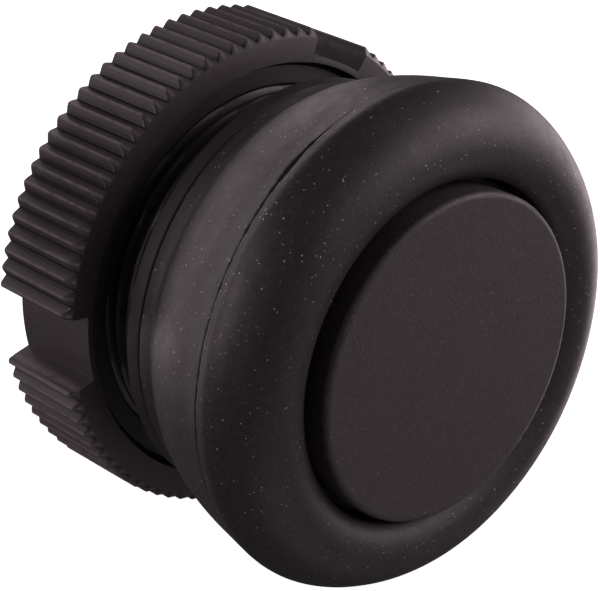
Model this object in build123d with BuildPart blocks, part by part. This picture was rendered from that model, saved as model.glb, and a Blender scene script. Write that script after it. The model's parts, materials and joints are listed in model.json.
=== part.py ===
"""A booted push button for a 22 mm panel hole, in millimetres.

The button's axis is the Y axis. The front, which is pushed, faces -Y, and +Z is up. The origin lies on
the axis in the plane where the gasket meets the panel. Most pieces are turned about the axis, so their
outlines are drawn in the XY plane as (radius, y) points.
"""

import os
from math import asin, cos, degrees, radians, sin

from build123d import *

os.makedirs("parts", exist_ok=True)

# ---- driving dimensions -----------------------------------------------------------------------------

slip = 0.02  # radial gap between pieces that are pressed together
running = 0.04  # radial gap of a sliding fit
travel = 4.0  # how far the button goes in

# neck and panel
neck_radius = 11.0  # plain register behind the gasket, for a 22.3 mm hole
register_length = 0.5
groove_radius = 10.8  # where the gasket and the boot's rear bead sit
thread_crest_radius = 10.95
thread_depth = 0.6
thread_pitch = 1.0
barrel_back = 10.6
flange_radius = 12.0
flange_front = -4.1
flange_back = -2.7
bumper_inner = 9.95
bumper_outer = 11.55
bumper_back = -3.5
bumper_chamfer = 0.2
bumper_gap = 0.05  # all round the bumper ring, and ahead of it at full travel
keyway_width = 3.0
keyway_radius = 10.0
keyway_tab_gap = 0.1  # on each side of the lock washer's tab and under it

# rubber boot
boot_radius = 14.5  # widest circle
widest_y = -8.95
crest_radius = 11.5  # where the boot's front stands furthest forward
crest_y = -12.02
front_outside = [(12.28, -11.89), (13.0, -11.5), (13.62, -10.88), (14.0, -10.3), (14.32, -9.65)]
lip_radius = 9.82  # inner edge of the boot's front, round the cap
lip_y = -11.1
lip_shoulder = [(10.05, -11.45), (10.6, -11.85)]  # points on the curve from the lip to the crest
line_y = -8.1  # the mould's parting line
line_radius = 14.37
rear_outside = [(14.19, -7.2), (13.95, -6.0), (13.62, -4.75), (13.2, -3.6), (12.82, -2.85)]  # rear taper
cavity_radius = 13.2
cavity_y = -8.1  # where the cavity is widest
cavity_height = 2.62
rear_inside = (12.6, -5.9)
collar_radius = 12.25
collar_front = -2.2
gasket_thickness = 1.0
gasket_round = 0.15

# cap and core
cap_radius = 9.37
cap_front = -12.46
cap_back = -10.1
cap_skin = 1.2
cap_rim_round = 0.35
spigot_inner = 6.2
spigot_outer = 7.2
core_radius = 12.2
core_front = -10.6
core_floor = -9.1
core_back = -8.5
core_recess_radius = 10.85
core_edge = 0.7
core_socket_depth = 0.4  # how far the plunger's front end stands in ahead of the core's back
hub_radius = 5.0
hub_back = -6.3
clamp_gap = 0.05  # between the cap and the ring under its rim
clamp_chamfer = 0.15

# plunger and its guides
stem_radius = 3.0
stem_back = 14.4
stem_chamfer = 0.3
bush_radius = 4.2
bush_flange = 0.7  # thickness
front_bush_flange_radius = 5.2
front_bush_back = 4.6
rear_bush_flange_radius = 5.4
rear_bush_front = 5.9
web_front = 2.0
web_back = 8.8
spring_pocket_radius = 7.2
rear_pocket_radius = 6.0
clip_front = 10.12
clip_thickness = 0.6
clip_groove_radius = 2.45
clip_radius = 4.6
clip_mouth = 3.4
clip_corner = 0.4
stop_washer_radius = 5.0
foot_radius = 4.2
foot_front = 12.3
foot_back = 16.4
foot_chamfer = 0.5
foot_pin_y = 13.4
foot_pin_radius = 0.8
foot_pin_inset = 0.15  # how far its ends are below the foot's side
foot_pin_chamfer = 0.12

# screw, washers and guide pins
screw_radius = 1.5
screw_clearance = 0.1
screw_hole_back = -3.0
screw_end_gap = 0.3
screw_tip_chamfer = 0.5
screw_head_radius = 2.75
screw_head_height = 1.4
screw_head_chamfer = 0.3
screw_socket_radius = 1.25  # across the flats
screw_socket_depth = 1.1
screw_washer_radius = 3.5
screw_washer_thickness = 0.5
spring_washer_radius = 6.9
spring_washer_thickness = 0.4
guide_pin_radius = 0.9
guide_pin_circle = 8.7
guide_pin_length = 6.8
guide_hole_depth = 6.6
guide_collar_radius = 1.2
guide_collar_thickness = 0.28

# return spring
spring_radius = 6.2
spring_wire = 0.7
spring_turns = 5
spring_gap = 0.05  # at each end of the spring

# knurled nut
nut_tip_radius = 14.34
nut_front = 2.6
nut_back = 8.5
tooth_pitch = 4.0  # degrees
tooth_depth = 0.42
teeth_in_group = 26
group_count = 3
first_notch = 62.5  # degrees from +X towards +Z
notch_width = 18.0  # degrees
notch_floor_radius = 12.75
nut_recess_radius = 12.4
nut_recess_depth = 1.3
nut_bore_radius = 11.02
nut_front_chamfer = 0.5
nut_back_chamfer = 0.08
nut_bore_chamfer = 0.4
washer_front = 3.2
washer_gap = 0.3  # between the lock washer and the wall of the nut's recess


# ---- helpers ----------------------------------------------------------------------------------------


def outline(*points):
    """A closed face with straight sides through (radius, y) points."""
    with BuildSketch() as face:
        with BuildLine():
            Polyline(*points, close=True)
        make_face()
    return face.sketch


def ring_section(inner, outer, front, back):
    """The section of a plain ring."""
    return outline((inner, front), (outer, front), (outer, back), (inner, back))


def on_circle(radius, degrees):
    """A point on a circle round the axis, as sketched on a plane across it."""
    return (radius * cos(radians(degrees)), radius * sin(radians(degrees)))


def save(piece, name):
    """Name a finished piece and write it."""
    piece.part.label = name
    export_step(piece.part, f"parts/{name}.step")


# ---- barrel: flange, panel register and thread -------------------------------------------------------


def thread_outline():
    """Crests and roots of the thread, from the register to the barrel's back end."""
    root = thread_crest_radius - thread_depth
    land = thread_pitch / 8
    points = []
    y = register_length
    while y + thread_pitch < barrel_back:
        points.append((thread_crest_radius, y + land))
        points.append((root, y + thread_pitch / 2 - land))
        points.append((root, y + thread_pitch / 2 + land))
        points.append((thread_crest_radius, y + thread_pitch - land))
        y += thread_pitch
    return points


with BuildPart() as barrel:
    barrel_outside = [
        (spring_pocket_radius, flange_front),
        (flange_radius, flange_front),
        (flange_radius, flange_back),
        (groove_radius, flange_back),
        (groove_radius, 0),
        (neck_radius, 0),
        (neck_radius, register_length),
        *thread_outline(),
        (thread_crest_radius - thread_depth, barrel_back),
    ]
    barrel_inside = [
        (rear_pocket_radius, barrel_back),
        (rear_pocket_radius, web_back),
        (bush_radius, web_back),
        (bush_radius, web_front),
        (spring_pocket_radius, web_front),
    ]
    revolve(outline(*barrel_outside, *barrel_inside), axis=Axis.Y)
    # groove for the bumper ring
    bumper_groove = ring_section(bumper_inner - bumper_gap, bumper_outer + bumper_gap, flange_front, bumper_back)
    revolve(bumper_groove, axis=Axis.Y, mode=Mode.SUBTRACT)
    # blind holes for the guide pins
    with BuildSketch(Plane.XZ.offset(-flange_front)):
        with PolarLocations(guide_pin_circle, 2):
            Circle(guide_pin_radius + running)
    extrude(amount=-guide_hole_depth, mode=Mode.SUBTRACT)
    # keyway along the underside of the thread
    with BuildSketch(Plane.XZ.offset(-barrel_back)):
        with Locations((0, -keyway_radius)):
            Rectangle(keyway_width, neck_radius - keyway_radius + 1, align=(Align.CENTER, Align.MAX))
    extrude(amount=barrel_back - register_length, mode=Mode.SUBTRACT)
save(barrel, "barrel")

# ---- panel gasket ------------------------------------------------------------------------------------

with BuildPart() as panel_gasket:
    revolve(ring_section(neck_radius + slip, collar_radius, -gasket_thickness, 0), axis=Axis.Y)
    outer_rim = panel_gasket.edges().filter_by(GeomType.CIRCLE).group_by(SortBy.RADIUS)[-1]
    fillet(outer_rim, gasket_round)
save(panel_gasket, "panel_gasket")

# ---- rubber boot ------------------------------------------------------------------------------------

bead_back = -gasket_thickness - slip
shelf_y = core_front - slip


def cavity_point(angle):
    """A point on the cavity's rounded front, from its widest circle (0) towards its crest (90)."""
    reach = cavity_radius - crest_radius
    return (crest_radius + reach * cos(radians(angle)), cavity_y - cavity_height * sin(radians(angle)))


shelf_angle = degrees(asin((cavity_y - shelf_y) / cavity_height))
shelf = cavity_point(shelf_angle)
crest = (crest_radius, crest_y)
lip = (lip_radius, lip_y)

with BuildPart() as boot:
    with BuildSketch():
        with BuildLine():
            # outside: up the groove's wall, over the lip and the round front, and back to the collar
            Line((lip_radius, core_floor - slip), lip)
            Spline(lip, *lip_shoulder, crest, tangents=[(0, -1), (1, 0)])
            Spline(crest, *front_outside, (boot_radius, widest_y), tangents=[(1, 0), (0, 1)])
            rear_points = [(boot_radius, widest_y), (line_radius, line_y), *rear_outside]
            Spline(*rear_points, (collar_radius, collar_front), tangents=[(0, 1), (-1, 1)])
            Line((collar_radius, collar_front), (collar_radius, bead_back))
            # rear bead, round the flange
            Polyline(
                (collar_radius, bead_back),
                (groove_radius + slip, bead_back),
                (groove_radius + slip, flange_back + slip),
                (flange_radius + slip, flange_back + slip),
                (flange_radius + slip, flange_front),
            )
            # inside, from the flange to the shelf on the core
            Spline((flange_radius + slip, flange_front), rear_inside, (cavity_radius, cavity_y))
            cavity_points = [cavity_point(angle) for angle in (0, shelf_angle / 2, shelf_angle)]
            Spline(*cavity_points, tangents=[(0, -1), (-1, -0.1)])
            # front bead, in the core's recess
            Polyline(
                shelf,
                (core_recess_radius - slip, shelf_y),
                (core_recess_radius - slip, core_floor - slip),
                (lip_radius, core_floor - slip),
            )
        make_face()
    revolve(axis=Axis.Y)
save(boot, "boot")

# ---- core, the rigid plate under the boot ------------------------------------------------------------

with BuildPart() as button_core:
    socket_floor = core_back + core_socket_depth
    core_outline = outline(
        (screw_radius + screw_clearance, core_floor),
        (core_recess_radius, core_floor),
        (core_recess_radius, core_front),
        (core_radius - core_edge, core_front),
        (core_radius, core_front + core_edge),
        (core_radius, core_back),
        (hub_radius, core_back),
        (hub_radius, hub_back),
        (stem_radius + slip, hub_back),
        (stem_radius + slip, socket_floor),
        (screw_radius + screw_clearance, socket_floor),
    )
    revolve(core_outline, axis=Axis.Y)
    with BuildSketch(Plane.XZ.offset(-core_back)):
        with PolarLocations(guide_pin_circle, 2):
            Circle(guide_pin_radius + slip)
    extrude(amount=core_back - core_floor, mode=Mode.SUBTRACT)
save(button_core, "button_core")

# ---- centre cap, its seal, and the ring that holds the boot's front bead -----------------------------

with BuildPart() as centre_cap:
    cap_outline = outline(
        (0, cap_front),
        (cap_radius, cap_front),
        (cap_radius, cap_back),
        (spigot_outer, cap_back),
        (spigot_outer, core_floor - slip),
        (spigot_inner, core_floor - slip),
        (spigot_inner, cap_front + cap_skin),
        (0, cap_front + cap_skin),
    )
    revolve(cap_outline, axis=Axis.Y)
    front_rim = centre_cap.edges().filter_by(GeomType.CIRCLE).group_by(Axis.Y)[0]
    fillet(front_rim, cap_rim_round)
save(centre_cap, "centre_cap")

seal_section = (core_floor - cap_back) / 2 - slip
with BuildPart() as cap_seal:
    with BuildSketch():
        with Locations((spigot_outer + slip + seal_section, (core_floor + cap_back) / 2)):
            Circle(seal_section)
    revolve(axis=Axis.Y)
save(cap_seal, "cap_seal")

clamp_front = cap_back + clamp_gap
with BuildPart() as boot_front_ring:
    ring_inner = spigot_outer + 2 * (slip + seal_section) + slip
    revolve(ring_section(ring_inner, lip_radius - slip, clamp_front, core_floor - slip), axis=Axis.Y)
    outer_lip = boot_front_ring.edges().group_by(Axis.Y)[0].group_by(SortBy.RADIUS)[-1]
    chamfer(outer_lip, clamp_chamfer)
save(boot_front_ring, "boot_front_ring")

# ---- screw and washer that hold the core to the plunger ----------------------------------------------

screw_washer_front = core_floor - screw_washer_thickness
with BuildPart() as screw_washer:
    washer_inner = screw_radius + screw_clearance
    washer_section = ring_section(washer_inner, screw_washer_radius, screw_washer_front, core_floor - slip)
    revolve(washer_section, axis=Axis.Y)
save(screw_washer, "screw_washer")

screw_head_back = screw_washer_front - slip
screw_head_front = screw_head_back - screw_head_height
with BuildPart() as core_screw:
    screw_back = screw_hole_back - screw_end_gap
    screw_outline = outline(
        (0, screw_head_front),
        (screw_head_radius, screw_head_front),
        (screw_head_radius, screw_head_back),
        (screw_radius - slip, screw_head_back),
        (screw_radius - slip, screw_back - screw_tip_chamfer),
        (screw_radius - screw_tip_chamfer, screw_back),
        (0, screw_back),
    )
    revolve(screw_outline, axis=Axis.Y)
    head_rim = core_screw.edges().filter_by(GeomType.CIRCLE).group_by(Axis.Y)[0]
    chamfer(head_rim, screw_head_chamfer)
    # hexagon socket
    with BuildSketch(Plane.XZ.offset(-screw_head_front)):
        RegularPolygon(radius=screw_socket_radius, side_count=6, major_radius=False)
    extrude(amount=-screw_socket_depth, mode=Mode.SUBTRACT)
save(core_screw, "core_screw")

# ---- plunger, and the pad pinned on its rear end -----------------------------------------------------

with BuildPart() as plunger:
    stem_front = socket_floor + slip
    groove_front = clip_front - slip
    groove_back = clip_front + clip_thickness + slip
    plunger_outline = outline(
        (screw_radius, stem_front),
        (stem_radius, stem_front),
        (stem_radius, groove_front),
        (clip_groove_radius, groove_front),
        (clip_groove_radius, groove_back),
        (stem_radius, groove_back),
        (stem_radius, stem_back - stem_chamfer),
        (stem_radius - stem_chamfer, stem_back),
        (0, stem_back),
        (0, screw_hole_back),
        (screw_radius, screw_hole_back),
    )
    revolve(plunger_outline, axis=Axis.Y)
    with BuildSketch(Plane.YZ.offset(-stem_radius)):
        with Locations((foot_pin_y, 0)):
            Circle(foot_pin_radius)
    extrude(amount=2 * stem_radius, mode=Mode.SUBTRACT)
save(plunger, "plunger")

with BuildPart() as plunger_foot:
    foot_outline = outline(
        (stem_radius + slip, foot_front),
        (foot_radius, foot_front),
        (foot_radius, foot_back - foot_chamfer),
        (foot_radius - foot_chamfer, foot_back),
        (0, foot_back),
        (0, stem_back + slip),
        (stem_radius + slip, stem_back + slip),
    )
    revolve(foot_outline, axis=Axis.Y)
    with BuildSketch(Plane.YZ.offset(-foot_radius)):
        with Locations((foot_pin_y, 0)):
            Circle(foot_pin_radius)
    extrude(amount=2 * foot_radius, mode=Mode.SUBTRACT)
save(plunger_foot, "plunger_foot")

with BuildPart() as foot_pin:
    with BuildSketch(Plane.YZ.offset(-foot_radius + foot_pin_inset)):
        with Locations((foot_pin_y, 0)):
            Circle(foot_pin_radius - slip)
    extrude(amount=2 * (foot_radius - foot_pin_inset))
    chamfer(foot_pin.edges().filter_by(GeomType.CIRCLE), foot_pin_chamfer)
save(foot_pin, "foot_pin")

# ---- return spring and its washer --------------------------------------------------------------------

spring_front = core_back + spring_washer_thickness
with BuildPart() as spring_washer:
    washer_section = ring_section(hub_radius + 0.1, spring_washer_radius, core_back + slip, spring_front)
    revolve(washer_section, axis=Axis.Y)
save(spring_washer, "spring_washer")

with BuildPart() as return_spring:
    coil_height = web_front - spring_front - spring_wire - 2 * spring_gap
    coil_start = (0, spring_front + spring_wire / 2 + spring_gap, 0)
    with BuildLine() as coil:
        Helix(coil_height / spring_turns, coil_height, spring_radius, center=coil_start, direction=(0, 1, 0))
    with BuildSketch(Plane(origin=coil.line @ 0, z_dir=coil.line % 0)):
        Circle(spring_wire / 2)
    sweep(path=coil.line, is_frenet=True)
save(return_spring, "return_spring")

# ---- bushes and seal in the barrel -------------------------------------------------------------------

with BuildPart() as front_bush:
    bush_outline = outline(
        (stem_radius + running, web_front - bush_flange),
        (front_bush_flange_radius, web_front - bush_flange),
        (front_bush_flange_radius, web_front - slip),
        (bush_radius - slip, web_front - slip),
        (bush_radius - slip, front_bush_back),
        (stem_radius + running, front_bush_back),
    )
    revolve(bush_outline, axis=Axis.Y)
save(front_bush, "front_bush")

with BuildPart() as rear_bush:
    bush_outline = outline(
        (stem_radius + running, rear_bush_front),
        (bush_radius - slip, rear_bush_front),
        (bush_radius - slip, web_back + slip),
        (rear_bush_flange_radius, web_back + slip),
        (rear_bush_flange_radius, web_back + bush_flange),
        (stem_radius + running, web_back + bush_flange),
    )
    revolve(bush_outline, axis=Axis.Y)
save(rear_bush, "rear_bush")

with BuildPart() as stem_seal:
    with BuildSketch():
        with Locations(((stem_radius + bush_radius) / 2, (front_bush_back + rear_bush_front) / 2)):
            Circle((bush_radius - stem_radius) / 2 - running - slip / 2)
    revolve(axis=Axis.Y)
save(stem_seal, "stem_seal")

# ---- clip and washer that set how far the button comes out -------------------------------------------

with BuildPart() as stop_washer:
    stop_front = web_back + bush_flange + slip
    revolve(ring_section(stem_radius + slip, stop_washer_radius, stop_front, clip_front - slip), axis=Axis.Y)
save(stop_washer, "stop_washer")

with BuildPart() as retaining_clip:
    with BuildSketch(Plane.XZ.offset(-clip_front - clip_thickness)):
        Circle(clip_radius)
        Circle(clip_groove_radius + slip, mode=Mode.SUBTRACT)
        Rectangle(clip_radius, clip_mouth, align=(Align.MIN, Align.CENTER), mode=Mode.SUBTRACT)
    extrude(amount=clip_thickness)
    fillet(retaining_clip.edges().filter_by(Axis.Y).group_by(Axis.X)[-1], clip_corner)
save(retaining_clip, "retaining_clip")

# ---- bumper ring and guide pins ----------------------------------------------------------------------

with BuildPart() as bumper_ring:
    bumper_front = core_back + travel + bumper_gap
    revolve(ring_section(bumper_inner, bumper_outer, bumper_front, bumper_back - slip), axis=Axis.Y)
    chamfer(bumper_ring.edges().group_by(Axis.Y)[0], bumper_chamfer)
save(bumper_ring, "bumper_ring")

with BuildPart() as guide_pins:
    with BuildSketch(Plane.XZ.offset(-core_floor)):
        with PolarLocations(guide_pin_circle, 2):
            Circle(guide_pin_radius)
    extrude(amount=-guide_pin_length)
    with BuildSketch(Plane.XZ.offset(-core_back - slip)):
        with PolarLocations(guide_pin_circle, 2):
            Circle(guide_collar_radius)
    extrude(amount=-guide_collar_thickness)
save(guide_pins, "guide_pins")

# ---- knurled nut and its keyed washer ----------------------------------------------------------------


def knurl_outline():
    """Corners of the nut's toothed outline with its notches, going round from the first notch."""
    root_radius = nut_tip_radius - tooth_depth
    group_span = 360 / group_count
    first_tip = (group_span - tooth_pitch * (teeth_in_group - 1)) / 2
    floor_steps = 6
    corners = []
    for group in range(group_count):
        notch = first_notch + group * group_span
        corners.append(on_circle(notch_floor_radius, notch + notch_width / 2))
        corners.append(on_circle(root_radius, notch + notch_width / 2))
        for tooth in range(teeth_in_group):
            tip = notch + first_tip + tooth * tooth_pitch
            corners.append(on_circle(nut_tip_radius, tip))
            if tooth < teeth_in_group - 1:
                corners.append(on_circle(root_radius, tip + tooth_pitch / 2))
        next_notch = notch + group_span
        corners.append(on_circle(root_radius, next_notch - notch_width / 2))
        for step in range(floor_steps):
            angle = next_notch - notch_width / 2 + step * notch_width / floor_steps
            corners.append(on_circle(notch_floor_radius, angle))
    return corners


with BuildPart() as fixing_nut:
    with BuildSketch(Plane.XZ.offset(-nut_back)):
        with BuildLine():
            Polyline(*knurl_outline(), close=True)
        make_face()
    extrude(amount=nut_back - nut_front)
    # turned envelope: chamfered ends, front recess and bore
    recess_floor = nut_front + nut_recess_depth
    envelope = outline(
        (nut_recess_radius, nut_front),
        (nut_tip_radius - nut_front_chamfer, nut_front),
        (nut_tip_radius + slip, nut_front + nut_front_chamfer),
        (nut_tip_radius + slip, nut_back - nut_back_chamfer),
        (nut_tip_radius - nut_back_chamfer, nut_back),
        (nut_bore_radius + nut_bore_chamfer, nut_back),
        (nut_bore_radius, nut_back - nut_bore_chamfer),
        (nut_bore_radius, recess_floor + nut_bore_chamfer),
        (nut_bore_radius + nut_bore_chamfer, recess_floor),
        (nut_recess_radius, recess_floor),
    )
    revolve(envelope, axis=Axis.Y, mode=Mode.INTERSECT)
save(fixing_nut, "fixing_nut")

with BuildPart() as lock_washer:
    washer_back = nut_front + nut_recess_depth - slip
    washer_outer = nut_recess_radius - washer_gap
    revolve(ring_section(nut_bore_radius, washer_outer, washer_front, washer_back), axis=Axis.Y)
    # tab that runs in the barrel's keyway
    tab_tip = keyway_radius + keyway_tab_gap
    with BuildSketch(Plane.XZ.offset(-washer_back)):
        with Locations((0, -tab_tip)):
            tab_width = keyway_width - 2 * keyway_tab_gap
            Rectangle(tab_width, washer_outer - tab_tip - 0.5, align=(Align.CENTER, Align.MAX))
    extrude(amount=washer_back - washer_front)
save(lock_washer, "lock_washer")
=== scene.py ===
# A booted push button for a 22 mm panel hole, standing on a white studio table.
#
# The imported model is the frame: metres, with the button's axis along Y, its front facing -Y, and +Z up.
# Sizes in the tables below are in millimetres. A section is a list of (radius, y) points that is turned
# about the axis, and an angle round the axis runs from +X towards +Z.

import json
import random
from math import asin, degrees, pi, radians

import bmesh
import bpy
import numpy as np
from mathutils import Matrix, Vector


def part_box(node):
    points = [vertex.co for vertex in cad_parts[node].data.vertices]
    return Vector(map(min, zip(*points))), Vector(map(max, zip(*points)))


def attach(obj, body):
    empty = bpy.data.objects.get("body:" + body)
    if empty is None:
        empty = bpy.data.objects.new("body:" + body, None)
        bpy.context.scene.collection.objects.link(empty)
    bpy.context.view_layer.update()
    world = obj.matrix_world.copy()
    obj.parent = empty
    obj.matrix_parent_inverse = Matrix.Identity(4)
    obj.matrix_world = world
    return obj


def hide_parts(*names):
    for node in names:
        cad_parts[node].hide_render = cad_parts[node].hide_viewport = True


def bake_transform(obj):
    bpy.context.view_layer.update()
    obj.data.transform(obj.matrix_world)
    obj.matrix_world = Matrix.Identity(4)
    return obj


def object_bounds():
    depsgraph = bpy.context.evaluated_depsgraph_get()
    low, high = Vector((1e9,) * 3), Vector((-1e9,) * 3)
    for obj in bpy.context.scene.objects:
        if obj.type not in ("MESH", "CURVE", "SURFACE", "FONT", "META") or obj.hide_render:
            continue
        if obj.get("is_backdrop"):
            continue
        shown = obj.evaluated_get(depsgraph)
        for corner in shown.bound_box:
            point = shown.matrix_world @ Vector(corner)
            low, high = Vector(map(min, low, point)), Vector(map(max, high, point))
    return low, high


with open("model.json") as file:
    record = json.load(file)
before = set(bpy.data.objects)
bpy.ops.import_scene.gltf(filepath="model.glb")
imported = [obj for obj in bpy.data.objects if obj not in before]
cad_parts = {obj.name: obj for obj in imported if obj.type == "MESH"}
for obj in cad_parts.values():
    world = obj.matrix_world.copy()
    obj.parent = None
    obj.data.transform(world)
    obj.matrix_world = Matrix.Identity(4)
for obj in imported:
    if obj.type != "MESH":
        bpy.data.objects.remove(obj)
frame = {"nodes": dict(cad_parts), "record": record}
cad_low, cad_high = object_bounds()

MM = 0.001
nodes = frame["nodes"]

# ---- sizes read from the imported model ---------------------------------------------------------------


def node_box(name):
    """A CAD node's lowest and highest corner, in millimetres."""
    low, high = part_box(name)
    return low / MM, high / MM


boot_low, boot_high = node_box("boot")
_, barrel_high = node_box("barrel")
nut_low, nut_high = node_box("fixing_nut")
gasket_low, gasket_high = node_box("panel_gasket")
spring_low, spring_high = node_box("return_spring")

# ---- boot --------------------------------------------------------------------------------------------

# its profile's main points, from the groove round the cap to the collar, and then the cavity inside
boot_radius = boot_high.x
boot_columns = 720
widest_y = -8.95
crest_radius = 11.5
front_shape = [(12.28, -11.89), (13.0, -11.5), (13.62, -10.88), (14.0, -10.3), (14.32, -9.65)]
line_y = -8.1
line_radius = 14.37
lip_point = (9.82, -11.1)
lip_shoulder = [(9.84, -11.28), (10.05, -11.52), (10.6, -11.86)]
rear_taper = [(14.19, -7.2), (13.95, -6.0), (13.62, -4.75), (13.2, -3.6), (12.82, -2.85)]
rear_inside = (12.6, -5.9)
cavity_radius = 13.2
cavity_y = -8.1
cavity_height = 2.62
shelf_y = -10.62
core_floor = -9.12
front_bead_radius = 10.83
bead_back = -1.02
collar_radius = 12.25
collar_front = -2.2

groove_rows = 7
uneven_front = 0.01

# mould line: its rows' distances from its middle, with room for them, and its angles in degrees
line_half_width = 0.085
line_depth = 0.13
line_steps = (0.025, 0.05, 0.075, 0.1, 0.13, 0.16, 0.2)
line_room = 0.24
line_from = 112
line_to = 188
gap_at = 123
gap_spread = 6

# ---- barrel, thread and nut --------------------------------------------------------------------------

thread_start = 0.5
thread_pitch = 1.0
thread_crest = 10.95
thread_root = 10.35
thread_columns = 360
neck_radius = 11.0
groove_radius = 10.8
flange_front = -4.1
flange_back = -2.7
flange_radius = 12.0
edge_break = 0.1
slip = 0.02  # room between pieces that touch
bumper_groove = (9.9, 11.6, -3.5)  # inner and outer radius, and its floor
underneath = 1.5 * pi  # the angle of the barrel's underside
keyway_half_width = 1.5
keyway_floor = 10.0
spring_pocket = 7.2
rear_pocket = 6.0
bush_hole = 4.2
web_front = 2.0
web_back = 8.8
guide_hole_circle = 8.7
guide_hole_radius = 0.94
guide_hole_back = 2.5

# the knurl: angles are in degrees, and a tooth's places are shares of the pitch from one tip to the next
nut_tip_radius = 14.33
tooth_pitch = 4.0
tooth_depth = 0.42
tooth_root = nut_tip_radius - tooth_depth
tooth_places = (0.0, 0.02, 0.06, 0.2, 0.35, 0.46, 0.5, 0.54, 0.65, 0.8, 0.94, 0.98)
tips_per_group = 26
first_tip = 10.0
group_count = 3
first_notch = 62.5
notch_width = 18.0
notch_floor_radius = 12.75
# height marks for the nut's material: 0 in a valley, 1 on a tip
plain_mark = 0.5
worn_mark = 0.9

nut_recess_radius = 12.4
nut_recess_depth = 1.3
nut_bore_radius = 11.02
nut_thread_root = 11.4
nut_front_chamfer = 0.5
nut_back_chamfer = 0.08
bore_chamfer = 0.4

# ---- helpers for shapes ------------------------------------------------------------------------------


def catmull(points, start, end, steps):
    """A smooth line through (radius, y) points. start and end are its directions at its two ends."""
    p = np.array(points, float)
    gaps = np.linalg.norm(np.diff(p, axis=0), axis=1)
    tangents = np.zeros_like(p)
    tangents[0] = np.array(start, float)
    tangents[-1] = np.array(end, float)
    for i in range(1, len(p) - 1):
        before = (p[i] - p[i - 1]) / gaps[i - 1]
        after = (p[i + 1] - p[i]) / gaps[i]
        tangents[i] = (before * gaps[i] + after * gaps[i - 1]) / (gaps[i] + gaps[i - 1])
    line = []
    for i in range(len(p) - 1):
        for t in np.linspace(0, 1, steps, endpoint=False):
            a = (2 * t**3 - 3 * t**2 + 1) * p[i]
            b = (t**3 - 2 * t**2 + t) * gaps[i] * tangents[i]
            c = (3 * t**2 - 2 * t**3) * p[i + 1]
            d = (t**3 - t**2) * gaps[i] * tangents[i + 1]
            line.append(tuple(a + b + c + d))
    line.append(tuple(p[-1]))
    return line


def rounded(points, radius, steps=4):
    """A closed section with every corner rounded."""
    p = [np.array(q, float) for q in points]
    section = []
    for i, corner in enumerate(p):
        to_last = p[i - 1] - corner
        to_next = p[(i + 1) % len(p)] - corner
        reach = min(radius, 0.4 * np.linalg.norm(to_last), 0.4 * np.linalg.norm(to_next))
        first = corner + to_last / np.linalg.norm(to_last) * reach
        last = corner + to_next / np.linalg.norm(to_next) * reach
        for t in np.linspace(0, 1, steps):
            section.append(tuple((1 - t) ** 2 * first + 2 * t * (1 - t) * corner + t**2 * last))
    return section


def wander(angles, seed, lowest, highest):
    """A smooth random wave round the circle, about -1 to 1, made of whole-number waves."""
    random.seed(seed)
    total = np.zeros_like(angles)
    for wave in range(lowest, highest + 1):
        total += random.uniform(0.4, 1.0) * np.sin(wave * angles + random.uniform(0, 2 * pi))
    return total / np.abs(total).max()


def new_object(name, points, faces, sharp=40.0):
    """A smooth-shaded mesh from points in metres. Edges that bend more than sharp degrees stay crisp."""
    mesh = bpy.data.meshes.new(name)
    mesh.from_pydata(points, [], faces)
    mesh.validate()
    mesh.shade_smooth()
    mesh.set_sharp_from_angle(angle=radians(sharp))
    piece = bpy.data.objects.new(name, mesh)
    bpy.context.scene.collection.objects.link(piece)
    return piece


def grid_faces(columns, rows, wrap_columns=True, wrap_rows=True):
    """Quads between the points of a grid that is stored column by column."""
    i = np.arange(columns if wrap_columns else columns - 1)
    j = np.arange(rows if wrap_rows else rows - 1)
    i, j = np.meshgrid(i, j, indexing="ij")
    next_i = (i + 1) % columns
    next_j = (j + 1) % rows
    quads = np.stack([i * rows + j, i * rows + next_j, next_i * rows + next_j, next_i * rows + j], -1)
    return quads.reshape(-1, 4)


def turned(radius, y, angles):
    """Points in metres for grids of radius and y in millimetres, one row of the grid for each angle."""
    x = radius * np.cos(angles)[:, None]
    z = radius * np.sin(angles)[:, None]
    return np.stack([x, y, z], -1).reshape(-1, 3) * MM


def store(piece, name, values):
    """Keeps one number for each of a mesh's points, for its material to read."""
    attribute = piece.data.attributes.new(name, "FLOAT", "POINT")
    attribute.data.foreach_set("value", np.asarray(values, np.float32).ravel())


def store_rest(piece):
    """Keeps each point's place at rest, so that a texture stays on a piece that bends."""
    places = np.zeros(len(piece.data.vertices) * 3, np.float32)
    piece.data.vertices.foreach_get("co", places)
    attribute = piece.data.attributes.new("rest", "FLOAT_VECTOR", "POINT")
    attribute.data.foreach_set("vector", places)


def lathe(name, section, columns=360, sharp=40.0):
    """A closed section turned about the Y axis."""
    angles = np.linspace(0, 2 * pi, columns, endpoint=False)
    section = np.array(section, float)
    radius = np.repeat(section[None, :, 0], columns, axis=0)
    y = np.repeat(section[None, :, 1], columns, axis=0)
    faces = grid_faces(columns, len(section))
    return new_object(name, turned(radius, y, angles), faces.tolist(), sharp)


def closed_grid(name, radius, y, angles, sharp=40.0):
    """A ring whose closed section changes from column to column."""
    faces = grid_faces(len(angles), radius.shape[1])
    return new_object(name, turned(radius, y, angles), faces.tolist(), sharp)


# ---- helpers for materials ---------------------------------------------------------------------------


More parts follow.
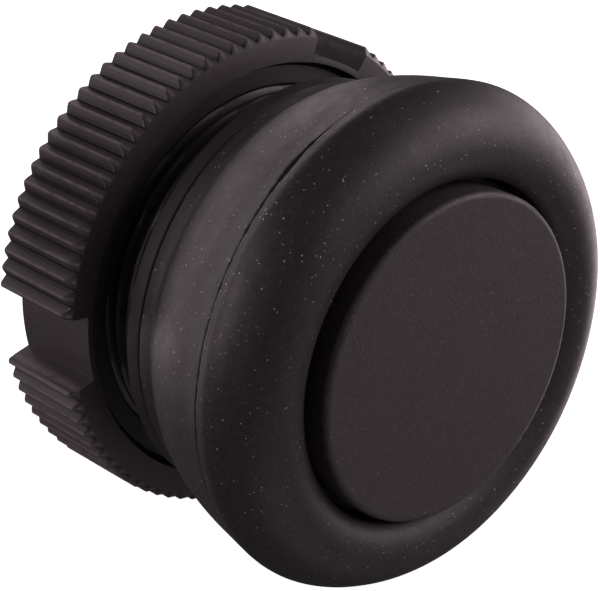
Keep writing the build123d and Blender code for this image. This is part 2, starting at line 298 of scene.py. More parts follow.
class Recipe:
    """One procedural material. Coordinates are in millimetres, so a scale is features per millimetre."""

    def __init__(self, name, base, roughness, rest=False, **settings):
        self.material = bpy.data.materials.new(name)
        self.material.use_nodes = True
        self.tree = self.material.node_tree
        self.shader = self.tree.nodes["Principled BSDF"]
        self.shader.inputs["Base Color"].default_value = (*base, 1)
        self.shader.inputs["Roughness"].default_value = roughness
        for setting, value in settings.items():
            self.shader.inputs[setting.replace("_", " ")].default_value = value
        if rest:
            source = self.node("ShaderNodeAttribute")
            source.attribute_name = "rest"
            place = source.outputs["Vector"]
        else:
            place = self.node("ShaderNodeTexCoord").outputs["Object"]
        self.place = self.scaled(place, (1000, 1000, 1000))
        self.height = None

    def node(self, kind, **inputs):
        """Adds a node and sets its inputs by name."""
        made = self.tree.nodes.new(kind)
        for name, value in inputs.items():
            socket = made.inputs[name.replace("_", " ")]
            if isinstance(value, bpy.types.NodeSocket):
                self.tree.links.new(value, socket)
            else:
                socket.default_value = value
        return made

    def scaled(self, vector, factors):
        """The coordinates multiplied along each axis."""
        made = self.node("ShaderNodeVectorMath")
        made.operation = "MULTIPLY"
        self.tree.links.new(vector, made.inputs[0])
        made.inputs[1].default_value = factors
        return made.outputs["Vector"]

    def combine(self, operation, first, second, third=None):
        """A Math node's result."""
        made = self.node("ShaderNodeMath")
        made.operation = operation
        for socket, value in zip(made.inputs, (first, second, third)):
            if isinstance(value, bpy.types.NodeSocket):
                self.tree.links.new(value, socket)
            elif value is not None:
                socket.default_value = value
        return made.outputs[0]

    def noise(self, scale, detail=2.0, roughness=0.5, vector=None):
        """Cloudy noise from 0 to 1."""
        made = self.node(
            "ShaderNodeTexNoise", Vector=vector or self.place, Scale=scale, Detail=detail, Roughness=roughness
        )
        return made.outputs[0]

    def band(self, value, low, high):
        """0 below low, 1 above high, and smooth between them."""
        made = self.node("ShaderNodeMapRange")
        made.interpolation_type = "SMOOTHSTEP"
        self.tree.links.new(value, made.inputs["Value"])
        made.inputs["From Min"].default_value = low
        made.inputs["From Max"].default_value = high
        return made.outputs["Result"]

    def spread(self, value, low, high):
        """Noise from 0 to 1 carried over to the range low to high."""
        made = self.node("ShaderNodeMapRange")
        self.tree.links.new(value, made.inputs["Value"])
        made.inputs["From Min"].default_value = 0.25
        made.inputs["From Max"].default_value = 0.75
        made.inputs["To Min"].default_value = low
        made.inputs["To Max"].default_value = high
        return made.outputs["Result"]

    def mix(self, factor, first, second):
        """A colour between two colours."""
        made = self.node("ShaderNodeMix")
        made.data_type = "RGBA"
        self.tree.links.new(factor, made.inputs["Factor"])
        for socket, value in ((made.inputs["A"], first), (made.inputs["B"], second)):
            if isinstance(value, bpy.types.NodeSocket):
                self.tree.links.new(value, socket)
            else:
                socket.default_value = (*value, 1)
        return made.outputs["Result"]

    def color(self, value):
        """Gives the shader its colour."""
        self.tree.links.new(value, self.shader.inputs["Base Color"])

    def roughness(self, value):
        """Gives the shader its roughness."""
        self.tree.links.new(value, self.shader.inputs["Roughness"])

    def bump(self, height, depth, strength=1.0):
        """Adds relief. depth is in millimetres for a height of 1."""
        made = self.node("ShaderNodeBump", Strength=strength, Distance=depth * MM, Height=height)
        if self.height is not None:
            self.tree.links.new(self.height, made.inputs["Normal"])
        self.height = made.outputs["Normal"]
        self.tree.links.new(self.height, self.shader.inputs["Normal"])

    def stored(self, name):
        """A number kept on the mesh with store()."""
        source = self.node("ShaderNodeAttribute")
        source.attribute_name = name
        return source.outputs["Fac"]

    def cells(self, scale, vector=None):
        """Distance to the nearest random point, and that point's own random number."""
        made = self.node("ShaderNodeTexVoronoi", Vector=vector or self.place, Scale=scale)
        split = self.node("ShaderNodeSeparateColor", Color=made.outputs["Color"])
        return made.outputs["Distance"], split.outputs["Red"]


# ---- materials ---------------------------------------------------------------------------------------


def moulded(name, dark, light, roughness, grain, depth, rest=False, **settings):
    """Moulded black plastic or rubber: blotchy tone, a fine even grain and uneven gloss."""
    recipe = Recipe(name, dark, roughness, rest, **settings)
    tone = recipe.noise(0.35, detail=4.0)
    recipe.color(recipe.mix(recipe.spread(tone, 0, 1), dark, light))
    recipe.roughness(recipe.spread(recipe.noise(1.1, detail=3.0), roughness - 0.05, roughness + 0.05))
    recipe.bump(recipe.noise(grain, detail=3.0, roughness=0.6), depth)
    return recipe


# layers of dust: how far each is stretched along X, Y and Z, its cells per millimetre, and a speck's size
dust_layers = (
    ((1.0, 1.0, 1.0), 2.6, 0.12),
    ((0.35, 1.0, 1.5), 1.8, 0.08),
    ((1.4, 0.5, 0.6), 3.2, 0.1),
)


def with_dust(recipe, ground, amount, dust=(0.6, 0.58, 0.6)):
    """Scatters light specks and short hairs of dust over a recipe's colour."""
    drift = recipe.node("ShaderNodeTexNoise", Vector=recipe.place, Scale=2.5, Detail=1.0)
    warped = recipe.node("ShaderNodeVectorMath")
    warped.operation = "MULTIPLY_ADD"
    recipe.tree.links.new(drift.outputs["Color"], warped.inputs[0])
    warped.inputs[1].default_value = (0.25, 0.25, 0.25)
    recipe.tree.links.new(recipe.place, warped.inputs[2])
    patches = recipe.band(recipe.noise(0.16, detail=1.0), 0.35, 0.6)
    dusty = ground
    for stretch, scale, size in dust_layers:
        distance, chance = recipe.cells(scale, recipe.scaled(warped.outputs["Vector"], stretch))
        near = recipe.combine("SUBTRACT", 1.0, recipe.band(distance, size * 0.55, size))
        kept = recipe.band(chance, 1.0 - amount, 1.02 - amount)
        speck = recipe.combine("MULTIPLY", near, kept)
        speck = recipe.combine("MULTIPLY", speck, recipe.combine("MULTIPLY_ADD", patches, 0.7, 0.3))
        dusty = recipe.mix(speck, dusty, dust)
    return dusty


def boot_rubber():
    """Matte black rubber with a pale bloom and dust on it, and painted shade in its mould line."""
    recipe = moulded("boot_rubber", (0.021, 0.018, 0.0195), (0.027, 0.023, 0.025), 0.5, 7.0, 0.012, rest=True)
    ground = recipe.shader.inputs["Base Color"].links[0].from_socket
    bloom = recipe.band(recipe.noise(4.5, detail=4.0, roughness=0.75), 0.48, 0.75)
    ground = recipe.mix(bloom, ground, (0.05, 0.045, 0.049))
    dusty = with_dust(recipe, ground, 0.5)
    # painted shade: the mould line's groove is coloured near-black
    recipe.color(recipe.mix(recipe.stored("line"), dusty, (0.003, 0.003, 0.003)))
    recipe.bump(recipe.noise(0.8, detail=2.0), 0.03)
    return recipe.material


def cap_plastic():
    """Fine-grained matte plastic of the flat cap."""
    recipe = moulded("cap_plastic", (0.036, 0.0285, 0.031), (0.042, 0.034, 0.037), 0.56, 6.0, 0.014)
    ground = recipe.shader.inputs["Base Color"].links[0].from_socket
    speckle = recipe.band(recipe.noise(4.5, detail=3.0, roughness=0.75), 0.48, 0.72)
    ground = recipe.mix(speckle, ground, (0.07, 0.06, 0.065))
    recipe.color(with_dust(recipe, ground, 0.1, dust=(0.3, 0.28, 0.29)))
    return recipe.material


def nut_plastic():
    """Satin moulded plastic, with fine marks drawn along the teeth, painted shade in the valleys between
    them, and worn tips.
    """
    recipe = moulded("nut_plastic", (0.04, 0.0335, 0.036), (0.048, 0.04, 0.043), 0.46, 5.0, 0.008)
    ground = recipe.shader.inputs["Base Color"].links[0].from_socket
    streaks = recipe.noise(3.0, detail=3.0, vector=recipe.scaled(recipe.place, (1.0, 0.12, 1.0)))
    ground = recipe.mix(recipe.band(streaks, 0.45, 0.8), ground, (0.062, 0.052, 0.055))
    height = recipe.stored("height")
    # painted shade: the valleys between the teeth are coloured near-black
    valley_shade = recipe.combine("SUBTRACT", 1.0, recipe.band(height, 0.12, 0.48))
    ground = recipe.mix(valley_shade, ground, (0.006, 0.005, 0.005))
    rubbed = recipe.band(recipe.noise(1.6, detail=3.0), 0.2, 0.6)
    worn = recipe.combine("MULTIPLY", recipe.band(height, 0.65, 1.0), rubbed)
    recipe.color(recipe.mix(worn, ground, (0.14, 0.12, 0.123)))
    recipe.bump(streaks, 0.012)
    return recipe.material


def barrel_plastic():
    """Glass-filled plastic of the barrel, with a fine stretched relief of its fibres."""
    recipe = moulded("barrel_plastic", (0.02, 0.017, 0.018), (0.027, 0.023, 0.025), 0.42, 4.0, 0.008)
    fibres = recipe.noise(6.0, detail=2.0, vector=recipe.scaled(recipe.place, (1.0, 0.3, 0.5)))
    recipe.bump(fibres, 0.006)
    return recipe.material


def gasket_rubber():
    """Plain rubber with a dull bloom."""
    recipe = moulded("gasket_rubber", (0.014, 0.013, 0.0135), (0.02, 0.018, 0.019), 0.66, 6.0, 0.01)
    recipe.bump(recipe.noise(1.5), 0.02)
    return recipe.material


def seal_rubber():
    """Smooth rubber of the seals."""
    recipe = moulded("seal_rubber", (0.015, 0.015, 0.015), (0.024, 0.023, 0.022), 0.38, 9.0, 0.003, rest=True)
    return recipe.material


def dark_plastic(name, roughness):
    """Plain moulded black plastic for the pieces inside."""
    recipe = moulded(name, (0.022, 0.021, 0.022), (0.032, 0.03, 0.031), roughness, 5.0, 0.008)
    recipe.bump(recipe.noise(0.7), 0.02)
    return recipe.material


def natural_polymer(name, dark, light):
    """Unpigmented plastic that lets a little light into itself, with faint turning marks."""
    recipe = Recipe(name, light, 0.36, Subsurface_Weight=0.15, Subsurface_Scale=0.8 * MM)
    recipe.color(recipe.mix(recipe.noise(0.5, detail=3.0), dark, light))
    rings = recipe.noise(5.0, detail=1.0, vector=recipe.scaled(recipe.place, (0.05, 1.0, 0.05)))
    recipe.roughness(recipe.spread(rings, 0.3, 0.44))
    recipe.bump(rings, 0.004)
    return recipe.material


def plated_steel():
    """Zinc-plated steel: a crystalline grey with a faint yellow and blue cast."""
    recipe = Recipe("steel", (0.55, 0.55, 0.56), 0.3, Metallic=1.0)
    patch = recipe.noise(1.2, detail=4.0)
    recipe.color(recipe.mix(recipe.spread(patch, 0, 1), (0.5, 0.49, 0.45), (0.56, 0.57, 0.6)))
    recipe.roughness(recipe.spread(recipe.noise(4.0, detail=4.0), 0.22, 0.42))
    recipe.bump(recipe.noise(9.0, detail=2.0), 0.002)
    return recipe.material


def spring_steel(name, rest):
    """Bright drawn spring steel with fine marks along it and a trace of oil."""
    recipe = Recipe(name, (0.5, 0.5, 0.51), 0.24, rest=rest, Metallic=1.0)
    marks = recipe.noise(8.0, detail=2.0, vector=recipe.scaled(recipe.place, (0.25, 2.0, 0.25)))
    tone = recipe.spread(recipe.noise(0.6, detail=3.0), 0, 1)
    recipe.color(recipe.mix(tone, (0.42, 0.41, 0.4), (0.54, 0.55, 0.57)))
    recipe.roughness(recipe.spread(marks, 0.16, 0.36))
    recipe.bump(marks, 0.002)
    return recipe.material


materials = {
    "boot_rubber": boot_rubber(),
    "cap_plastic": cap_plastic(),
    "nut_plastic": nut_plastic(),
    "barrel_plastic": barrel_plastic(),
    "gasket_rubber": gasket_rubber(),
    "seal_rubber": seal_rubber(),
    "ring_plastic": dark_plastic("ring_plastic", 0.5),
    "core_plastic": dark_plastic("core_plastic", 0.45),
    "foot_plastic": dark_plastic("foot_plastic", 0.4),
    "washer_plastic": dark_plastic("washer_plastic", 0.55),
    "plunger_plastic": natural_polymer("plunger_plastic", (0.66, 0.63, 0.56), (0.78, 0.76, 0.71)),
    "bush_plastic": natural_polymer("bush_plastic", (0.72, 0.69, 0.6), (0.84, 0.82, 0.76)),
    "steel": plated_steel(),
    "spring_steel": spring_steel("spring_steel", rest=False),
    "coiled_wire": spring_steel("coiled_wire", rest=True),
}


def dress(piece, slot):
    """Gives a piece its material."""
    piece.data.materials.clear()
    piece.data.materials.append(materials[slot])


for part in frame["record"]["subparts"]:
    dress(nodes[part["node"]], part["material_slot"])


def finish_piece(piece, slot, body, *replaced):
    """Dresses a new piece, puts it on its body and lets it stand for its CAD nodes."""
    dress(piece, slot)
    if body:
        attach(piece, body)
    if replaced:
        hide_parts(*replaced)


# ---- rubber boot -------------------------------------------------------------------------------------


def cavity_front(first, last, steps):
    """Points round the cavity's front, from first to last degrees: 0 where it is widest."""
    turn = np.radians(np.linspace(first, last, steps))
    reach = cavity_radius - crest_radius
    return list(zip(crest_radius + reach * np.cos(turn), cavity_y - cavity_height * np.sin(turn)))


def boot_profile():
    """The boot's closed section in three runs: up to the mould line, the line's own rows, and the rest."""
    crest = (crest_radius, boot_low.y)
    groove_wall = [(lip_point[0], y) for y in np.linspace(core_floor, lip_point[1], groove_rows + 1)[:-1]]
    shoulder = catmull([lip_point, *lip_shoulder, crest], (0, -1), (1, 0), 7)[:-1]
    widest = (boot_radius, widest_y)
    rear_end = (collar_radius, collar_front)
    points = [crest, *front_shape, widest, (line_radius, line_y), *rear_taper, rear_end]
    outside = catmull(points, (1, 0), (-0.75, 0.65), 10)
    outside_radius, outside_y = zip(*outside)
    line = [(np.interp(line_y + step, outside_y, outside_radius), line_y + step) for step in line_offsets]
    front = [point for point in outside if point[1] < line_y - line_room]
    rear = [point for point in outside if point[1] > line_y + line_room]
    collar = [(collar_radius, -1.9), (collar_radius, -1.2), (12.21, -1.08), (12.12, bead_back)]
    # the rear bead sits in the groove behind the barrel's flange
    bead_radius = groove_radius + slip
    flange_clear = flange_radius + slip
    bead_front = flange_back + slip
    bead = [(bead_radius, bead_back), (bead_radius, bead_front), (flange_clear, bead_front)]
    inside = catmull(
        [(flange_clear, flange_front), rear_inside, (cavity_radius, cavity_y)], (0.4, -0.9), (0.1, -1), 8
    )
    shelf_turn = degrees(asin((cavity_y - shelf_y) / cavity_height))
    cavity = cavity_front(4, shelf_turn, 12)
    front_bead = [(front_bead_radius, shelf_y), (front_bead_radius, core_floor)]
    return groove_wall + shoulder + front, line, rear + collar + bead + inside + cavity + front_bead


def line_shape(angles):
    """How deep and how wide the mould line is at each angle: it gapes in one place and closes further on."""
    opening = 1 / (1 + np.exp(-(angles - radians(line_from)) / radians(1.5)))
    opening *= 1 / (1 + np.exp((angles - radians(line_to)) / radians(6)))
    gap = np.exp(-((angles - radians(gap_at)) ** 2) / radians(gap_spread) ** 2)
    ragged = np.clip(0.85 + 0.4 * wander(angles, 8, 60, 170), 0, 1)
    uneven = 0.75 + 0.35 * wander(angles, 3, 20, 90)
    strength = np.clip(0.1 + 0.6 * opening * uneven + 0.4 * gap, 0, 1) * ragged
    width = line_half_width * (0.35 + 0.75 * strength + 0.75 * gap * ragged)
    return strength[:, None], width[:, None]


line_offsets = np.array([-step for step in reversed(line_steps)] + [0, *line_steps])
before_line, line_rows, after_line = boot_profile()
angles = np.linspace(0, 2 * pi, boot_columns, endpoint=False)
section = np.array(before_line + line_rows + after_line, float)
radius = np.repeat(section[None, :, 0], boot_columns, axis=0)
depth_y = np.repeat(section[None, :, 1], boot_columns, axis=0)

# the mould line: a narrow, slightly wandering groove, with painted shade along its middle
line_span = slice(len(before_line), len(before_line) + len(line_rows))
strength, width = line_shape(angles)
groove = np.exp(-((line_offsets[None, :] / width) ** 2)) * strength
radius[:, line_span] -= line_depth * groove
depth_y[:, line_span] += 0.03 * wander(angles, 5, 4, 30)[:, None]
# painted shade: how near-black the colour is along the groove's middle, kept for the material
line_shade = np.zeros_like(radius)
line_shade[:, line_span] = np.clip(3.5 * groove - 0.15, 0, 1)

# the soft front is a little uneven, as moulded rubber is
front_rows = slice(groove_rows + 6, len(before_line))
radius[:, front_rows] -= uneven_front * (1 + wander(angles, 13, 2, 9))[:, None]
radius = np.minimum(radius, boot_radius)
depth_y[:, front_rows] += uneven_front * (1 + wander(angles, 12, 2, 9))[:, None]

boot_skin = closed_grid("boot_skin", radius, depth_y, angles, sharp=60.0)
store(boot_skin, "line", line_shade)
store_rest(boot_skin)
finish_piece(boot_skin, "boot_rubber", None, "boot")
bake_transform(boot_skin)

# ---- panel gasket: a flat ring with a fine rib round its panel face -----------------------------------

gasket_section = rounded(
    [
        (neck_radius + slip, 0),
        (neck_radius + slip, gasket_low.y),
        (gasket_high.x, gasket_low.y),
        (gasket_high.x, -0.04),
        (12.0, -0.04),
        (11.9, 0),
        (11.6, 0),
        (11.5, -0.04),
        (11.4, 0),
    ],
    0.15,
)
gasket = lathe("gasket_ring", gasket_section)
finish_piece(gasket, "gasket_rubber", "base", "panel_gasket")

# ---- seals and the bumper ring: hidden rubber rings with their mould flash ----------------------------


def rubber_ring(name, ring_radius, ring_y, section_radius, body, replaced):
    """A round-section ring with a fine line of flash round its outside and inside."""
    turns = np.linspace(0, 2 * pi, 36, endpoint=False)
    flash = 0.02 * np.exp(-((np.abs(np.cos(turns)) - 1) ** 2) / 0.00005)
    reach = section_radius - 0.02 + flash
    points = list(zip(ring_radius + reach * np.cos(turns), ring_y + reach * np.sin(turns)))
    ring = lathe(name, points, columns=240)
    store_rest(ring)
    finish_piece(ring, "seal_rubber", body, replaced)


for name, body, replaced in (("cap_o_ring", "button", "cap_seal"), ("stem_o_ring", "base", "stem_seal")):
    low, high = node_box(replaced)
    section_radius = (high.y - low.y) / 2
    rubber_ring(name, high.x - section_radius, (high.y + low.y) / 2, section_radius, body, replaced)

# the bumper has two rounded ribs on the face that the core meets
bumper_low, bumper_high = node_box("bumper_ring")
bumper_section = rounded(
    [
        (9.95, bumper_high.y),
        (9.95, bumper_low.y + 0.2),
        (10.15, bumper_low.y),
        (10.55, bumper_low.y),
        (10.75, bumper_low.y + 0.15),
        (10.95, bumper_low.y),
        (11.35, bumper_low.y),
        (bumper_high.x, bumper_low.y + 0.2),
        (bumper_high.x, bumper_high.y),
    ],
    0.12,
)
bumper = lathe("bumper_pad", bumper_section)
store_rest(bumper)
finish_piece(bumper, "seal_rubber", "base", "bumper_ring")

# ---- return spring -----------------------------------------------------------------------------------

wire_radius = 0.35
coil_radius = spring_high.x - wire_radius
spring_turns = 5
coil_start = spring_low.y + wire_radius
coil_height = spring_high.y - spring_low.y - 2 * wire_radius


def coil_points(turn_steps=64, wire_steps=12):
    """A wire along a helix, as a grid of rings round the wire, with its two ends closed."""
    count = spring_turns * turn_steps + 1
    along = np.linspace(0, 1, count)
    turn = 2 * pi * spring_turns * along
    round_wire = np.linspace(0, 2 * pi, wire_steps, endpoint=False)
    reach = coil_radius + wire_radius * np.cos(round_wire)[None, :] + 0 * turn[:, None]
    y = (coil_start + coil_height * along)[:, None] + wire_radius * np.sin(round_wire)[None, :]
    faces = grid_faces(count, wire_steps, wrap_columns=False).tolist()
    faces.append(list(range(wire_steps))[::-1])
    faces.append(list(range((count - 1) * wire_steps, count * wire_steps)))
    return turned(reach, y, turn), faces


spring = new_object("return_coil", *coil_points())
store_rest(spring)
finish_piece(spring, "spring_steel", None, "return_spring")
dress(spring, "coiled_wire")
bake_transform(spring)

# ---- knurled nut -------------------------------------------------------------------------------------


def notch_wall(turn, side):
    """Columns up one wall of a notch. side is 1 where teeth come after it, -1 where they come before it."""
    steps = (
        (-0.1, notch_floor_radius + 0.05, plain_mark),
        (-0.03, notch_floor_radius + 0.2, plain_mark),
        (0.02, tooth_root - 0.15, worn_mark),
        (0.12, tooth_root, worn_mark),
    )
    return sorted((turn + side * step, reach, mark) for step, reach, mark in steps)


def tooth_columns():
    """Angles, outer radii and marks round the nut: groups of rounded teeth, with plain notches between."""
    span = 360 / group_count
    columns = []
    for group in range(group_count):
        middle = first_notch + group * span
        first_wall = middle + notch_width / 2
        last_wall = middle + span - notch_width / 2
        for share in np.linspace(-0.5, 0.5, 19):
            columns.append((middle + share * (notch_width - 0.3), notch_floor_radius, plain_mark))
        columns += notch_wall(first_wall, 1)
        for tooth in range(-1, tips_per_group):
            for place in tooth_places:
                turn = middle + first_tip + (tooth + place) * tooth_pitch
                height = abs(place - 0.5) * 2
                if first_wall + 0.15 < turn < last_wall - 0.15:
                    columns.append((turn, tooth_root + tooth_depth * np.clip(height, 0.03, 0.97), height))
        columns += notch_wall(last_wall, -1)
    turns, reaches, marks = np.array(columns).T
    return np.radians(turns), reaches, marks


nut_turns, nut_reach, nut_marks = tooth_columns()

nut_front = nut_low.y
nut_back = nut_high.y


def nut_sections():
    """For each column, the nut's closed section: front face, outside, back face, threaded bore, recess."""
    count = len(nut_turns)
    radius, y, height = [], [], []

    def row(r, level, mark=plain_mark):
        radius.append(np.broadcast_to(r, count))
        y.append(np.broadcast_to(level, count))
        height.append(np.broadcast_to(mark, count))

    front_limit = nut_tip_radius - nut_front_chamfer
    back_limit = nut_tip_radius - nut_back_chamfer
    front_edge = np.minimum(nut_reach, front_limit)
    back_edge = np.minimum(nut_reach, back_limit)
    front_rise = nut_front + np.maximum(nut_reach - front_limit, 0.0)
    back_drop = nut_back - np.maximum(nut_reach - back_limit, 0.0)
    soft = 0.05
    inner_edge = np.minimum(nut_recess_radius, nut_reach - 0.12)
    row(inner_edge, nut_front + soft)
    row(inner_edge + soft * 0.4, nut_front + 0.01)
    row(np.maximum(front_edge - soft, inner_edge + 0.04), nut_front)
    row(front_edge, nut_front + soft * 0.3)
    for share in (0.15, 0.5, 0.85):
        reach = front_edge + share * (nut_reach - front_edge)
        row(reach, nut_front + share * (front_rise - nut_front) + soft * 0.3, nut_marks)
    row(nut_reach, front_rise + soft, nut_marks)
    for share in (0.03, 0.25, 0.5, 0.75, 0.97):
        row(nut_reach, front_rise + soft + share * (back_drop - front_rise - 2 * soft), nut_marks)
    row(nut_reach, back_drop - soft, nut_marks)
    row(back_edge, nut_back - soft * 0.3, nut_marks)
    row(back_edge - soft, nut_back)
    # back face down to the bore
    row(nut_bore_radius + 0.55, nut_back)
    row(nut_bore_radius + bore_chamfer, nut_back)
    # internal thread, one helical groove that runs out at both ends
    recess_floor = nut_front + nut_recess_depth
    level = nut_back - bore_chamfer
    bottom = recess_floor + bore_chamfer
    fraction = nut_turns / (2 * pi)
    rows_per_turn = 8
    for step in range(int((level - bottom) / thread_pitch * rows_per_turn) + 1):
        at = level - step * thread_pitch / rows_per_turn
        wave = 0.5 + 0.5 * np.cos(2 * pi * (at / thread_pitch - fraction))
        fade = np.clip(min(level - at, at - bottom) / 0.3, 0, 1)
        cut = np.clip(wave * 1.3 - 0.15, 0, 1) * fade
        row(nut_bore_radius + (nut_thread_root - nut_bore_radius) * cut, at)
    row(nut_bore_radius, bottom)
    row(nut_bore_radius + bore_chamfer, recess_floor)
    row(inner_edge - 0.1, recess_floor)
    row(inner_edge, recess_floor - 0.1)
    return np.stack(radius, 1), np.stack(y, 1), np.stack(height, 1)


nut_radius, nut_y, nut_heights = nut_sections()
knurled_nut = closed_grid("knurled_nut", nut_radius, nut_y, nut_turns, sharp=28.0)
store(knurled_nut, "height", nut_heights)
finish_piece(knurled_nut, "nut_plastic", "nut", "fixing_nut")

# ---- barrel with a real helical thread ---------------------------------------------------------------


def thread_height(phase):
    """Height of the thread from 0 at the root to 1 at the crest. phase is in turns of pitch."""
    away = np.abs((phase % 1.0) - 0.5) * 2
    return np.clip((away - 0.27) / 0.46, 0, 1)


def keyed_columns():
    """Angles round the barrel, with extra ones at the two walls of the keyway under it."""
    plain = np.linspace(0, 2 * pi, thread_columns, endpoint=False)
    edge = asin(keyway_half_width / thread_root)
    tight = 0.0005
    walls = [underneath + side * edge + step for side in (-1, 1) for step in (-tight, tight)]
    clear = np.abs(plain[:, None] - np.array(walls)[None, :]).min(axis=1) > 8 * tight
    return np.sort(np.concatenate([plain[clear], walls]))


def barrel_sections():
    """For each column, the barrel's closed section, with the thread stepped round by the column's angle."""
    turns = keyed_columns()
    count = len(turns)
    back = barrel_high.y
    radius, y = [], []

    def row(r, level):
        radius.append(np.broadcast_to(r, count).astype(float))
        y.append(np.broadcast_to(level, count).astype(float))

    for r, level in (
        (spring_pocket, flange_front),
        (bumper_groove[0], flange_front),
        (bumper_groove[0], bumper_groove[2]),
        (bumper_groove[1], bumper_groove[2]),
        (bumper_groove[1], flange_front),
        (flange_radius - edge_break, flange_front),
        (flange_radius, flange_front + edge_break),
        (flange_radius, flange_back - edge_break),
        (flange_radius - edge_break, flange_back),
        (groove_radius, flange_back),
        (groove_radius, -0.02),
        (groove_radius + 0.05, 0.0),
        (neck_radius - 0.05, 0.0),
        (neck_radius, 0.05),
        (neck_radius, thread_start),
    ):
        row(r, level)
    in_keyway = np.abs(turns - underneath) < asin(keyway_half_width / thread_root)
    floor = keyway_floor / np.maximum(np.cos(turns - underneath), 0.5)
    rows_per_turn = 16
    steps = int((back - thread_start) / thread_pitch * rows_per_turn)
    for step in range(1, steps + 1):
        level = thread_start + step * (back - thread_start) / steps
        height = thread_height(level / thread_pitch - turns / (2 * pi))
        fade_in = min(1.0, (level - thread_start) / 0.15)
        limit = min(thread_crest, thread_root + max(0.0, (back - level)) * 1.2)
        reach = thread_root + (thread_crest - thread_root) * (height * fade_in + (1 - fade_in))
        reach = np.minimum(reach, limit)
        row(np.where(in_keyway, np.minimum(floor, reach), reach), level)
    for r, level in (
        (rear_pocket + 0.15, back),
        (rear_pocket, back - 0.15),
        (rear_pocket, web_back),
        (bush_hole, web_back),
        (bush_hole, web_front),
        (spring_pocket, web_front),
    ):
        row(r, level)
    return turns, np.stack(radius, 1), np.stack(y, 1)


def drill_guide_holes(piece):
    """Cuts the two blind holes that the guide pins slide in, through the flange's front face."""
    for side in (-1, 1):
        drill = bmesh.new()
        bmesh.ops.create_cone(
            drill,
            cap_ends=True,
            segments=48,
            radius1=guide_hole_radius * MM,
            radius2=guide_hole_radius * MM,
            depth=2 * (guide_hole_back - flange_front) * MM,
        )
        mesh = bpy.data.meshes.new("drill")
        drill.to_mesh(mesh)
        drill.free()
        cutter = bpy.data.objects.new("drill", mesh)
        cutter.location = Vector((side * guide_hole_circle, flange_front, 0)) * MM
        cutter.rotation_euler.x = pi / 2
        bpy.context.scene.collection.objects.link(cutter)
        cut = piece.modifiers.new("hole", "BOOLEAN")
        cut.operation = "DIFFERENCE"
        cut.solver = "EXACT"
        cut.object = cutter
        drilled = bpy.data.meshes.new_from_object(piece.evaluated_get(bpy.context.evaluated_depsgraph_get()))
        piece.modifiers.clear()
        piece.data = drilled
        bpy.data.objects.remove(cutter)


barrel_turns, barrel_radius, barrel_y = barrel_sections()
threaded_barrel = closed_grid("threaded_barrel", barrel_radius, barrel_y, barrel_turns, sharp=35.0)
drill_guide_holes(threaded_barrel)
finish_piece(threaded_barrel, "barrel_plastic", "base", "barrel")

# ---- soften the sharp edges of the CAD nodes that show ------------------------------------------------

for name, width in (
    ("lock_washer", 0.06),
    ("rear_bush", 0.08),
    ("stop_washer", 0.06),
    ("retaining_clip", 0.06),
    ("plunger_foot", 0.1),
    ("foot_pin", 0.05),
):
    weld = nodes[name].modifiers.new("weld", "WELD")
    weld.merge_threshold = 0.001 * MM
    bevel = nodes[name].modifiers.new("soft edges", "BEVEL")
    bevel.width = width * MM
    bevel.segments = 2
    bevel.limit_method = "ANGLE"
    bevel.angle_limit = radians(40)

# ---- table, lights and camera ------------------------------------------------------------------------

table_z = cad_low.z
light_tint = (1.0, 0.84, 0.885)
camera_place = (-80.70, -86.34, 57.54)
camera_direction = (0.61487, 0.65354, -0.44138)
camera_lens = 138.87


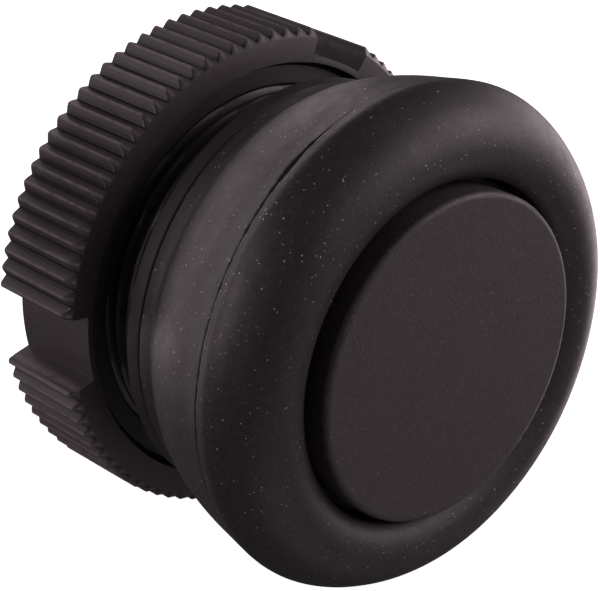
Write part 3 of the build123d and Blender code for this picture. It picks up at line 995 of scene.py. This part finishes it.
def add_table():
    """A plain white table that glows faintly, so that it stays white behind a black object."""
    half = 3.0
    corners = [(-half, -half, table_z), (half, -half, table_z), (half, half, table_z), (-half, half, table_z)]
    mesh = bpy.data.meshes.new("table")
    mesh.from_pydata(corners, [], [(0, 1, 2, 3)])
    table = bpy.data.objects.new("table", mesh)
    bpy.context.scene.collection.objects.link(table)
    white = bpy.data.materials.new("table_white")
    white.use_nodes = True
    shader = white.node_tree.nodes["Principled BSDF"]
    shader.inputs["Base Color"].default_value = (0.9, 0.9, 0.9, 1)
    shader.inputs["Roughness"].default_value = 0.9
    shader.inputs["Specular IOR Level"].default_value = 0.1
    shader.inputs["Emission Color"].default_value = (1, 1, 1, 1)
    shader.inputs["Emission Strength"].default_value = 0.93
    table.data.materials.append(white)
    table.visible_diffuse = False
    table.visible_glossy = False
    table.visible_shadow = False
    table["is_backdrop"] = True


def add_light(name, place, size, power):
    """A softbox aimed at the button. place is in millimetres, size in metres and power in watts."""
    data = bpy.data.lights.new(name, "AREA")
    data.shape = "RECTANGLE"
    data.size = size[0]
    data.size_y = size[1]
    data.energy = power
    data.color = light_tint
    light = bpy.data.objects.new(name, data)
    light.location = Vector(place) * MM
    light.rotation_euler = (-light.location).to_track_quat("-Z", "Y").to_euler()
    light.visible_camera = False
    bpy.context.scene.collection.objects.link(light)


def add_camera():
    """A long lens, in front of the button to its left and above it."""
    data = bpy.data.cameras.new("camera")
    data.sensor_width = 36.0
    data.lens = camera_lens
    data.clip_start = 0.005
    data.clip_end = 20.0
    camera = bpy.data.objects.new("camera", data)
    camera.location = Vector(camera_place) * MM
    camera.rotation_mode = "QUATERNION"
    camera.rotation_quaternion = Vector(camera_direction).to_track_quat("-Z", "Y")
    bpy.context.scene.collection.objects.link(camera)
    bpy.context.scene.camera = camera


add_table()
# a white backdrop behind the button, then the softboxes round it and a low fill
add_light("backdrop", (30, 295, 15), (0.36, 0.3), 0.75)
add_light("upper_left", (-250, 80, 95), (0.16, 0.16), 0.29)
add_light("right_side", (285, 15, -60), (0.2, 0.26), 0.45)
add_light("right_high", (225, -105, 145), (0.14, 0.14), 0.19)
add_light("right_front", (200, -190, 60), (0.16, 0.2), 0.2)
add_light("top_front", (60, -230, 150), (0.2, 0.2), 0.11)
add_light("low_fill", (-30, -190, -220), (0.3, 0.3), 0.12)
add_camera()

world = bpy.data.worlds.new("studio")
world.use_nodes = True
world.node_tree.nodes["Background"].inputs["Color"].default_value = (1, 1, 1, 1)
world.node_tree.nodes["Background"].inputs["Strength"].default_value = 0.05
bpy.context.scene.world = world
bpy.context.scene.view_settings.view_transform = "Standard"

low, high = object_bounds()
